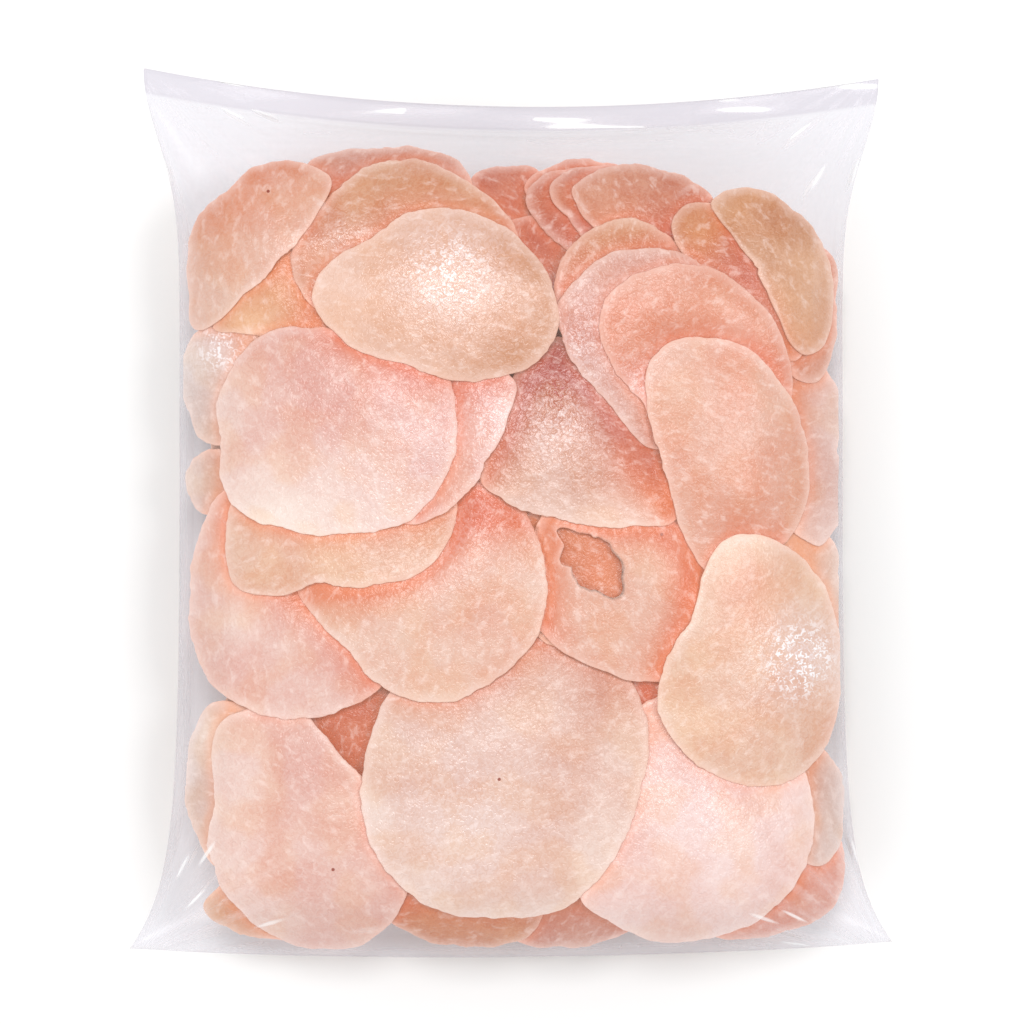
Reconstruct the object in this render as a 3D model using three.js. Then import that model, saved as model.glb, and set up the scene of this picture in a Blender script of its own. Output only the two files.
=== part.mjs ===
// A clear pillow bag, filled with thin sago papads and sealed at both ends, lying on its back.
// Millimetres, +Z up. +X runs across the bag and +Y towards the wide, sagging top seal.
// The whole is one closed solid out to the film: an outline, a pillow of depth over it,
// and the low steps where the discs press against the front of the film.
import * as THREE from 'three';
import { mergeVertices } from 'three/addons/utils/BufferGeometryUtils.js';

// The flat bag and how far its contents draw it in.
const SEAL_WIDTH = 203.4;
const BODY_WIDTH = 182;
const EAR_SPAN = 212.6;
const BAG_HEIGHT = 244.6;
const TOP_SAG = 9.2;
const TOP_TILT = 3;
const BOTTOM_BOW = 1.4;
const BOTTOM_TILT = 1.9;
const TOP_FLARE_REACH = 28.6;
const EAR_FLARE_REACH = 21.7;

// Depth, measured up from the surface that the bag lies on.
const PILLOW_HEIGHT = 45;
const MID_HEIGHT = 20;
const TOP_SEAL_HEIGHT = 15;
const EAR_HEIGHT = 9;
const FILM_EDGE = 0.8;

// How quickly the filling swells from each end and each side.
const SEAL_BAND = 7;
const TOP_SWELL = 62;
const BOTTOM_SWELL = 26;
const SIDE_ROUNDING = 2.9;
const UNDERSIDE_SPREAD = 1.22;

// Creases in the film that fan out of the four corners.
const CREASE_DEPTH = 1.1;
const CREASE_REACH = 34;
const CREASES_PER_CORNER = 5;

// The discs that press on the front of the film: centre, half width, half height and lift.
const DISC_RIM = 5;
const FRONT_DISCS = [
  { x: -70, y: 74, across: 25, along: 31, lift: 1.6 },
  { x: -20, y: 58, across: 33, along: 25, lift: 2.6 },
  { x: -47, y: 22, across: 35, along: 29, lift: 2.9 },
  { x: 19, y: 21, across: 27, along: 25, lift: 1.2 },
  { x: 36, y: 85, across: 25, along: 12, lift: 1.0 },
  { x: 73, y: 66, across: 17, along: 24, lift: 1.4 },
  { x: 60, y: 15, across: 23, along: 32, lift: 2.4 },
  { x: 66, y: -42, across: 25, along: 34, lift: 2.8 },
  { x: -62, y: -25, across: 28, along: 31, lift: 1.3 },
  { x: -24, y: -22, across: 34, along: 30, lift: 2.2 },
  { x: 30, y: -23, across: 24, along: 24, lift: 1.1 },
  { x: -2, y: -74, across: 40, along: 38, lift: 2.8 },
  { x: -56, y: -87, across: 27, along: 33, lift: 1.7 },
  { x: 52, y: -86, across: 32, along: 34, lift: 1.9 },
];

// Cells across and along one face of the bag.
const COLUMNS = 40;
const ROWS = 46;

const FILM = new THREE.MeshStandardMaterial({
  name: 'papads_in_film',
  color: 0xf0c4b4,
  roughness: 0.35,
  metalness: 0,
});

// Rises from 0 to 1 with a flat start and a flat end.
function ease(t) {
  const s = THREE.MathUtils.clamp(t, 0, 1);
  return s * s * (3 - 2 * s);
}

// Swells from 0 to 1 like the quarter of an ellipse: steep at the seam, level at the full depth.
function swell(distance, reach) {
  const t = THREE.MathUtils.clamp(distance / reach, 0, 1);
  return Math.sqrt(1 - (1 - t) ** 2);
}

// Half the width of the bag at a share v of its height: the body, and a flare at each end.
function halfWidth(v) {
  const fromTop = (1 - v) * BAG_HEIGHT;
  const fromBottom = v * BAG_HEIGHT;
  const topFlare = (SEAL_WIDTH - BODY_WIDTH) / 2 * Math.exp(-((fromTop / TOP_FLARE_REACH) ** 2));
  const earFlare = (EAR_SPAN - BODY_WIDTH) / 2 * Math.exp(-fromBottom / EAR_FLARE_REACH);
  return BODY_WIDTH / 2 + topFlare + earFlare;
}

// The sagging top edge: a parabola between two corners, of which the left one is higher.
function topEdge(u) {
  return BAG_HEIGHT / 2 - TOP_TILT / 2 * (1 + u) - TOP_SAG * (1 - u * u);
}

// The bottom edge bows down a little between the ears, of which the right one is higher.
function bottomEdge(u) {
  return -BAG_HEIGHT / 2 + BOTTOM_TILT / 2 * (1 + u) - BOTTOM_BOW * (1 - u * u);
}

// Height of the seam that joins the front film to the back film.
function seamHeight(u, v) {
  const atTop = Math.exp(-(((1 - v) * BAG_HEIGHT / CREASE_REACH) ** 2));
  const atEars = Math.exp(-((v * BAG_HEIGHT / CREASE_REACH) ** 2)) * u * u;
  return MID_HEIGHT + (TOP_SEAL_HEIGHT - MID_HEIGHT) * atTop + (EAR_HEIGHT - MID_HEIGHT) * atEars;
}

// Share of the full depth at a place: nothing along the seals and sides, all of it inside.
function fullness(u, v) {
  const fromTopSeal = (1 - v) * BAG_HEIGHT - SEAL_BAND;
  const ends = swell(fromTopSeal, TOP_SWELL) * swell(v * BAG_HEIGHT, BOTTOM_SWELL);
  const sides = (1 - Math.abs(u) ** SIDE_ROUNDING) ** (1 / SIDE_ROUNDING);
  return ends * sides;
}

// Lift of the front film over the discs: the highest disc at a place, eased down at its rim.
function discLift(x, y) {
  const lifts = FRONT_DISCS.map((disc) => {
    const reach = Math.hypot((x - disc.x) / disc.across, (y - disc.y) / disc.along);
    const inside = (1 - reach) * Math.min(disc.across, disc.along);
    return disc.lift * ease(inside / DISC_RIM + 0.5);
  });
  return Math.max(0, ...lifts);
}

// Creases as a fan of waves round each corner, dying away with the distance from it.
function creases(x, y, u, v) {
  const cornerX = Math.sign(u) * halfWidth(v > 0.5 ? 1 : 0);
  const cornerY = v > 0.5 ? topEdge(Math.sign(u)) : bottomEdge(Math.sign(u));
  const distance = Math.hypot(x - cornerX, y - cornerY);
  const angle = Math.atan2(Math.abs(y - cornerY), Math.abs(x - cornerX));
  const fan = Math.cos(angle * 4 * CREASES_PER_CORNER);
  return CREASE_DEPTH * fan * (distance / CREASE_REACH) * Math.exp(1 - distance / CREASE_REACH);
}

// A point of the bag's front (side +1) or back (side -1), at u across and v along.
function bagPoint(u, v, side) {
  const x = u * halfWidth(v);
  const y = THREE.MathUtils.lerp(bottomEdge(u), topEdge(u), v);
  const seam = seamHeight(u, v);
  const share = fullness(u, v);
  const edge = Math.abs(u) === 1 || v === 0 || v === 1 ? 0 : FILM_EDGE / 2;
  if (side > 0) {
    const relief = share * (discLift(x, y) + creases(x, y, u, v));
    return new THREE.Vector3(x, y, seam + edge + share * (PILLOW_HEIGHT - seam) + relief);
  }
  const sunk = Math.min(1, share * UNDERSIDE_SPREAD);
  return new THREE.Vector3(x, y, (seam - edge) * (1 - sunk));
}

// One face as a grid of points, closer together towards the sides and the seals.
function facePoints(side) {
  const points = [];
  for (let row = 0; row <= ROWS; row += 1) {
    const t = row / ROWS;
    const v = t - 0.09 * Math.sin(2 * Math.PI * t);
    for (let column = 0; column <= COLUMNS; column += 1) {
      const u = column === COLUMNS ? 1 : -Math.cos(Math.PI * column / COLUMNS);
      points.push(bagPoint(u, row === ROWS ? 1 : v, side));
    }
  }
  return points;
}

// Front and back faces share their border points, so the merged mesh is one closed body.
function bagGeometry() {
  const points = [...facePoints(1), ...facePoints(-1)];
  const facePointCount = (ROWS + 1) * (COLUMNS + 1);
  const index = [];
  for (let row = 0; row < ROWS; row += 1) {
    for (let column = 0; column < COLUMNS; column += 1) {
      const a = row * (COLUMNS + 1) + column;
      const b = a + 1;
      const c = a + COLUMNS + 1;
      const d = c + 1;
      index.push(a, b, d, a, d, c);
      const back = [a, d, b, a, c, d].map((i) => i + facePointCount);
      index.push(...back);
    }
  }
  const geometry = new THREE.BufferGeometry().setFromPoints(points);
  geometry.setIndex(index);
  const merged = mergeVertices(geometry, 1e-4);
  merged.computeBoundingBox();
  const { min, max } = merged.boundingBox;
  merged.translate(-(min.x + max.x) / 2, -(min.y + max.y) / 2, -min.z);
  merged.computeVertexNormals();
  return merged;
}

const filledBag = new THREE.Mesh(bagGeometry(), FILM);
filledBag.name = 'filled_bag';

const part = new THREE.Group();
part.add(filledBag);

export default part;
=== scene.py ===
"""A clear pillow bag packed with thin sago papads, lying on its back with its front up.

Lengths are worked out in millimetres and become metres when a mesh is made. +X runs across the
bag, +Y towards its top seal and +Z up out of its front. The film repeats the outline and depth of
the bag's solid. The papads are laid under the front film one by one, each below those that cover it.
"""
import math

import bpy
import numpy as np
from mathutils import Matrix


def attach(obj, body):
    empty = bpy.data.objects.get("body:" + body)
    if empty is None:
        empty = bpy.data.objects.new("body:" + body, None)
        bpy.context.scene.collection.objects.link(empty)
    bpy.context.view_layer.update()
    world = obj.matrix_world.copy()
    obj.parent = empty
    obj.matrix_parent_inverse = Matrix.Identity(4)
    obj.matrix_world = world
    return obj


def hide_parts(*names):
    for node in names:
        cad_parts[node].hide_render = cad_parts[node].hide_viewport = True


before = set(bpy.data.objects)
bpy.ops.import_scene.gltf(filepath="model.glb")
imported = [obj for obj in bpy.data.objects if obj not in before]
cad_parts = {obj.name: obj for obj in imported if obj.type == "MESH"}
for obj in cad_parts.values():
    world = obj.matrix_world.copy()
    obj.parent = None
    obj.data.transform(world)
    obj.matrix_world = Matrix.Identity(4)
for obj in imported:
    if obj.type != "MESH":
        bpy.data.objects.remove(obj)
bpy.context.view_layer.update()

MM = 0.001

# The flat bag and how far its contents draw it in.
SEAL_WIDTH = 203.4
BODY_WIDTH = 182.0
EAR_SPAN = 212.6
BAG_HEIGHT = 244.6
TOP_SAG = 9.2
TOP_TILT = 3.0
BOTTOM_BOW = 1.4
BOTTOM_TILT = 1.9
TOP_FLARE_REACH = 28.6
EAR_FLARE_REACH = 21.7

# Depth, measured up from the surface that the bag lies on. The papads that press on the front film
# lift it by the pressed lift.
PILLOW_HEIGHT = 45.0
PRESSED_LIFT = 2.0
MID_HEIGHT = 20.0
TOP_SEAL_HEIGHT = 15.0
EAR_HEIGHT = 9.0
FILM_EDGE = 0.8
SEAL_BAND = 7.0
TOP_SWELL = 62.0
BOTTOM_SWELL = 26.0
SIDE_ROUNDING = 2.9
UNDERSIDE_SPREAD = 1.22
CREASE_REACH = 34.0
CREASES_PER_CORNER = 5
FAN_DEPTH = 0.8
FAN_REACH = 15.0

# The film's slack between the papads, how soon it is slack inside the seals, its fine waves in front
# and behind (height, size and seed), how softly the sealed band ends, how far below it the ripples
# run, and its grid with how much closer together its lines are at the sides and at the seals.
FILM_SLACK = 1.8
FILM_LIFT = 0.5
SLACKENING = 3.0
FRONT_WAVES = (0.16, 13.0, 901)
BACK_WAVES = (0.3, 17.0, 907)
SEAL_SOFTNESS = 0.8
SEAL_RIPPLES = 14.0
FILM_COLUMNS = 184
FILM_ROWS = 204
SIDE_CROWDING = 0.45
SEAL_CROWDING = 0.07

# The grid on which the papads are laid, and how they lie.
CELL = 0.75
GRID_HALVES = (108.0, 124.5)
GAP = 0.12
FILM_CLEARANCE = 0.9
BACK_CLEARANCE = 0.5
FRONT_SOFTENING = 16.0
THICKNESS = 0.9
RIM_THICKNESS = 0.4
RIM_REACH = 1.6
SIDE_LIMIT = 0.985
DOME_LEVEL = 0.4

# The unevenness of a papad: waves along its rim, broad ripples that are calmer in its middle, lumps
# that die down at the rim, and grain.
RIM_WAVES = (6.0, 2.6, 1.3)
RIM_DEPTH = 0.45
RIM_MARGIN = 4.0
TEAR_DEPTH = 0.8
RIPPLE_HEIGHT = 0.7
RIPPLE_SIZE = 26.0
RIPPLE_CALM = 0.3
LUMP_HEIGHT = 0.13
LUMP_SIZE = 6.0
LUMP_FADE = 4.0
GRAIN_HEIGHT = 0.05
GRAIN_SIZE = 1.6

# What colours a papad: painted shade from those above it, far and near, and with its depth below the
# film; painted light where those right below it back it; spots of painted highlight with a coat; its
# mottled tone and its pale rim; and a painted glow, light that it gives off though it is no lamp.
SHADE_REACH = 13.0
SHADE_STRENGTH = 1.6
CONTACT_REACH = 1.6
BACKING_REACH = 2.0
BACKING_SHARE = 0.7
USUAL_BACKING = 0.4
BACKING_PAINTED_LIGHT = 0.5
DEPTH_START = 3.0
DEPTH_REACH = 14.0
DEEPEST_PAINTED_SHADE = 1.25
HIDDEN_PAINTED_SHADE = 0.2
LEAST_SHEEN_AND_COAT = 0.1
MOTTLE_STRENGTH = 0.5
MOTTLE_SIZE = 14.0
MOTTLE_SEED = 31
PALE_RIM = 3.0
RIM_PAINTED_GLOW = 0.2
CONTACT_PAINTED_GLOW = 0.6
SHADE_PAINTED_GLOW = 0.22

# Points round and rings across the papads that show most, the other shown ones and the hidden ones.
# The spread is how evenly the rings lie.
FINE_PAPADS = 18
FINE_GRID = (300, 36)
SHOWN_GRID = (150, 20)
HIDDEN_GRID = (80, 10)
RING_SPREAD = 0.9

# The camera looks straight down at the bag, and its view is this wide at the mid seam.
LENS = 100.0
SENSOR = 36.0
VIEW_WIDTH = 281.6
VIEW_SHIFT = (0.275, -0.275)


# ---- shapes in numbers

def ease(t):
    """Rises from 0 to 1 with a flat start and a flat end: 3t^2 - 2t^3."""
    s = np.clip(t, 0.0, 1.0)
    return s * s * (3.0 - 2.0 * s)


def swell(distance, reach):
    """A quarter of an ellipse: steep at the seam, level once the distance is the reach."""
    t = np.clip(distance / reach, 0.0, 1.0)
    return np.sqrt(1.0 - (1.0 - t) ** 2)


def turned(x, y, angle):
    """A place turned about the middle by an angle."""
    return x * math.cos(angle) - y * math.sin(angle), x * math.sin(angle) + y * math.cos(angle)


def half_width(v):
    """Half the bag's width at a share v of its height: the body and a flare at each end."""
    from_top = (1.0 - v) * BAG_HEIGHT
    top_flare = (SEAL_WIDTH - BODY_WIDTH) / 2 * np.exp(-((from_top / TOP_FLARE_REACH) ** 2))
    ear_flare = (EAR_SPAN - BODY_WIDTH) / 2 * np.exp(-v * BAG_HEIGHT / EAR_FLARE_REACH)
    return BODY_WIDTH / 2 + top_flare + ear_flare


def top_edge(u):
    """The sagging top edge: a parabola between two corners, of which the left is higher."""
    return BAG_HEIGHT / 2 - TOP_TILT / 2 * (1 + u) - TOP_SAG * (1 - u * u)


def bottom_edge(u):
    """The bottom edge bows down a little between the ears."""
    return -BAG_HEIGHT / 2 + BOTTOM_TILT / 2 * (1 + u) - BOTTOM_BOW * (1 - u * u)


OUTLINE_U = np.linspace(-1, 1, 201)
CENTRE_Y = (top_edge(OUTLINE_U).max() + bottom_edge(OUTLINE_U).min()) / 2


def bag_xy(u, v):
    """A place in the outline: u across from -1 to 1, v along from 0 to 1."""
    y = bottom_edge(u) + (top_edge(u) - bottom_edge(u)) * v
    return u * half_width(v), y - CENTRE_Y


def bag_uv(x, y):
    """The inverse of bag_xy, by six rounds of putting each share back into the other."""
    u = np.clip(x / (BODY_WIDTH / 2), -1, 1)
    v = y * 0
    for _ in range(6):
        low = bottom_edge(u) - CENTRE_Y
        high = top_edge(u) - CENTRE_Y
        v = np.clip((y - low) / (high - low), 0, 1)
        u = np.clip(x / half_width(v), -1, 1)
    return u, v


def seam_height(u, v):
    """Height of the seam between front and back film: lower at the top seal and at the ears."""
    at_top = np.exp(-(((1 - v) * BAG_HEIGHT / CREASE_REACH) ** 2))
    at_ears = np.exp(-((v * BAG_HEIGHT / CREASE_REACH) ** 2)) * u * u
    return MID_HEIGHT + (TOP_SEAL_HEIGHT - MID_HEIGHT) * at_top + (EAR_HEIGHT - MID_HEIGHT) * at_ears


def fullness(u, v):
    """Share of the full depth: nothing along the seals and sides, all of it inside."""
    ends = swell((1 - v) * BAG_HEIGHT - SEAL_BAND, TOP_SWELL) * swell(v * BAG_HEIGHT, BOTTOM_SWELL)
    sides = np.clip(1 - np.abs(u) ** SIDE_ROUNDING, 0, 1) ** (1 / SIDE_ROUNDING)
    return ends * sides


def corner_creases(x, y, u, v):
    """Creases as a fan of waves round each corner, dying away with the distance from it."""
    side = np.where(u < 0, -1.0, 1.0)
    upper = v > 0.5
    corner_x = side * np.where(upper, half_width(1.0), half_width(0.0))
    corner_y = np.where(upper, top_edge(side), bottom_edge(side)) - CENTRE_Y
    distance = np.hypot(x - corner_x, y - corner_y)
    angle = np.arctan2(np.abs(y - corner_y), np.abs(x - corner_x))
    fan = np.cos(angle * 4 * CREASES_PER_CORNER)
    return FAN_DEPTH * fan * (distance / FAN_REACH) * np.exp(1 - distance / FAN_REACH)


def front_height(u, v):
    """The front film without its creases: the seam plus its share of the pillow's height."""
    seam = seam_height(u, v) + FILM_EDGE / 2
    return seam + fullness(u, v) * (PILLOW_HEIGHT + PRESSED_LIFT - seam)


def back_height(u, v):
    """The back film: the seam sunk onto the surface that the bag lies on."""
    sunk = np.minimum(1, fullness(u, v) * UNDERSIDE_SPREAD)
    return (seam_height(u, v) - FILM_EDGE / 2) * (1 - sunk)


LATTICE = 64
LATTICE_START = 1000.0
LAYER_STRENGTH = 0.55


def noise(x, y, size, seed):
    """Smooth noise from -1 to 1: random values on a lattice of that size, eased between."""
    lattice = np.random.RandomState(seed).uniform(-1, 1, (LATTICE, LATTICE))
    gx, gy = x / size + LATTICE_START, y / size + LATTICE_START
    ix, iy = np.floor(gx).astype(int), np.floor(gy).astype(int)
    fx, fy = ease(gx - ix), ease(gy - iy)
    near, far = (lattice[row % LATTICE, ix % LATTICE] * (1 - fx)
                 + lattice[row % LATTICE, (ix + 1) % LATTICE] * fx for row in (iy, iy + 1))
    return near * (1 - fy) + far * fy


def layered_noise(x, y, size, seed, layers=3):
    """Noise at several sizes, each turned, half the size and 0.55 of the strength of the one before."""
    return sum(LAYER_STRENGTH ** k * noise(*turned(x, y, k), size / 2 ** k, seed + 7 * k)
               for k in range(layers))


# ---- the bag as a grid of cells

GRID_X, GRID_Y = (np.arange(-half, half + CELL, CELL) for half in GRID_HALVES)
XX, YY = np.meshgrid(GRID_X, GRID_Y)
UU, VV = bag_uv(XX, YY)
FRONT = front_height(UU, VV) - FILM_CLEARANCE
BACK = back_height(UU, VV) + BACK_CLEARANCE


def average(values, cells):
    """The average of the square of cells round each cell, from running totals."""
    across = 2 * cells + 1
    for axis in (0, 1):
        padded = np.pad(values, [(cells + 1, cells) if a == axis else (0, 0) for a in (0, 1)], mode="edge")
        total = np.moveaxis(np.cumsum(padded, axis), axis, 0)
        values = np.moveaxis((total[across:] - total[:-across]) / across, 0, axis)
    return values


def draped(push, rounds=12, cells=3):
    """The push spread out in rounds of averaging, and never less than it was: a papad touches
    what it lies under and rises again beyond it."""
    spread = push
    for _ in range(rounds):
        spread = np.maximum(average(spread, cells), push)
    return spread


def smoothed(values, reach):
    """Each cell as the average of a square of cells round it, taken twice."""
    cells = max(1, int(round(reach / CELL / 2)))
    return average(average(values, cells), cells)


SOFT_FRONT = smoothed(FRONT, FRONT_SOFTENING)


def sampled(values, x, y):
    """A grid's value at any place, straight between its four nearest cells."""
    gx = np.clip((x - GRID_X[0]) / CELL, 0, len(GRID_X) - 1.001)
    gy = np.clip((y - GRID_Y[0]) / CELL, 0, len(GRID_Y) - 1.001)
    ix, iy = gx.astype(int), gy.astype(int)
    fx, fy = gx - ix, gy - iy
    near, far = (values[row, ix] * (1 - fx) + values[row, ix + 1] * fx for row in (iy, iy + 1))
    return near * (1 - fy) + far * fy


# ---- papad outlines

def rim_radius(angle, points, centre):
    """Distance from the centre to the rim: a smooth closed curve through the points' distances,
    a cubic between each two that takes its slopes from the points on either side."""
    place = np.array(points, float) - centre
    turns = np.arctan2(place[:, 1], place[:, 0])
    order = np.argsort(turns)
    turns, reach = turns[order], np.hypot(place[:, 0], place[:, 1])[order]
    turns = np.concatenate([turns - 2 * math.pi, turns, turns + 2 * math.pi])
    reach = np.tile(reach, 3)
    slope = (np.roll(reach, -1) - np.roll(reach, 1)) / (np.roll(turns, -1) - np.roll(turns, 1))
    angle = (angle + math.pi) % (2 * math.pi) - math.pi
    k = np.clip(np.searchsorted(turns, angle) - 1, 1, len(turns) - 3)
    span = turns[k + 1] - turns[k]
    t = (angle - turns[k]) / span
    start = (2 * t ** 3 - 3 * t ** 2 + 1) * reach[k] + (t ** 3 - 2 * t ** 2 + t) * span * slope[k]
    end = (3 * t ** 2 - 2 * t ** 3) * reach[k + 1] + (t ** 3 - t ** 2) * span * slope[k + 1]
    return start + end


def ragged(radius, angle, seed, depth=RIM_DEPTH):
    """A rim made uneven by small scallops: noise along its length at three sizes."""
    x, y = radius.mean() * np.cos(angle), radius.mean() * np.sin(angle)
    long, middling, short = (noise(x, y, size, seed + k) for k, size in enumerate(RIM_WAVES))
    return radius + depth * (long + (0.5 * middling + 0.4 * short))
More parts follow.
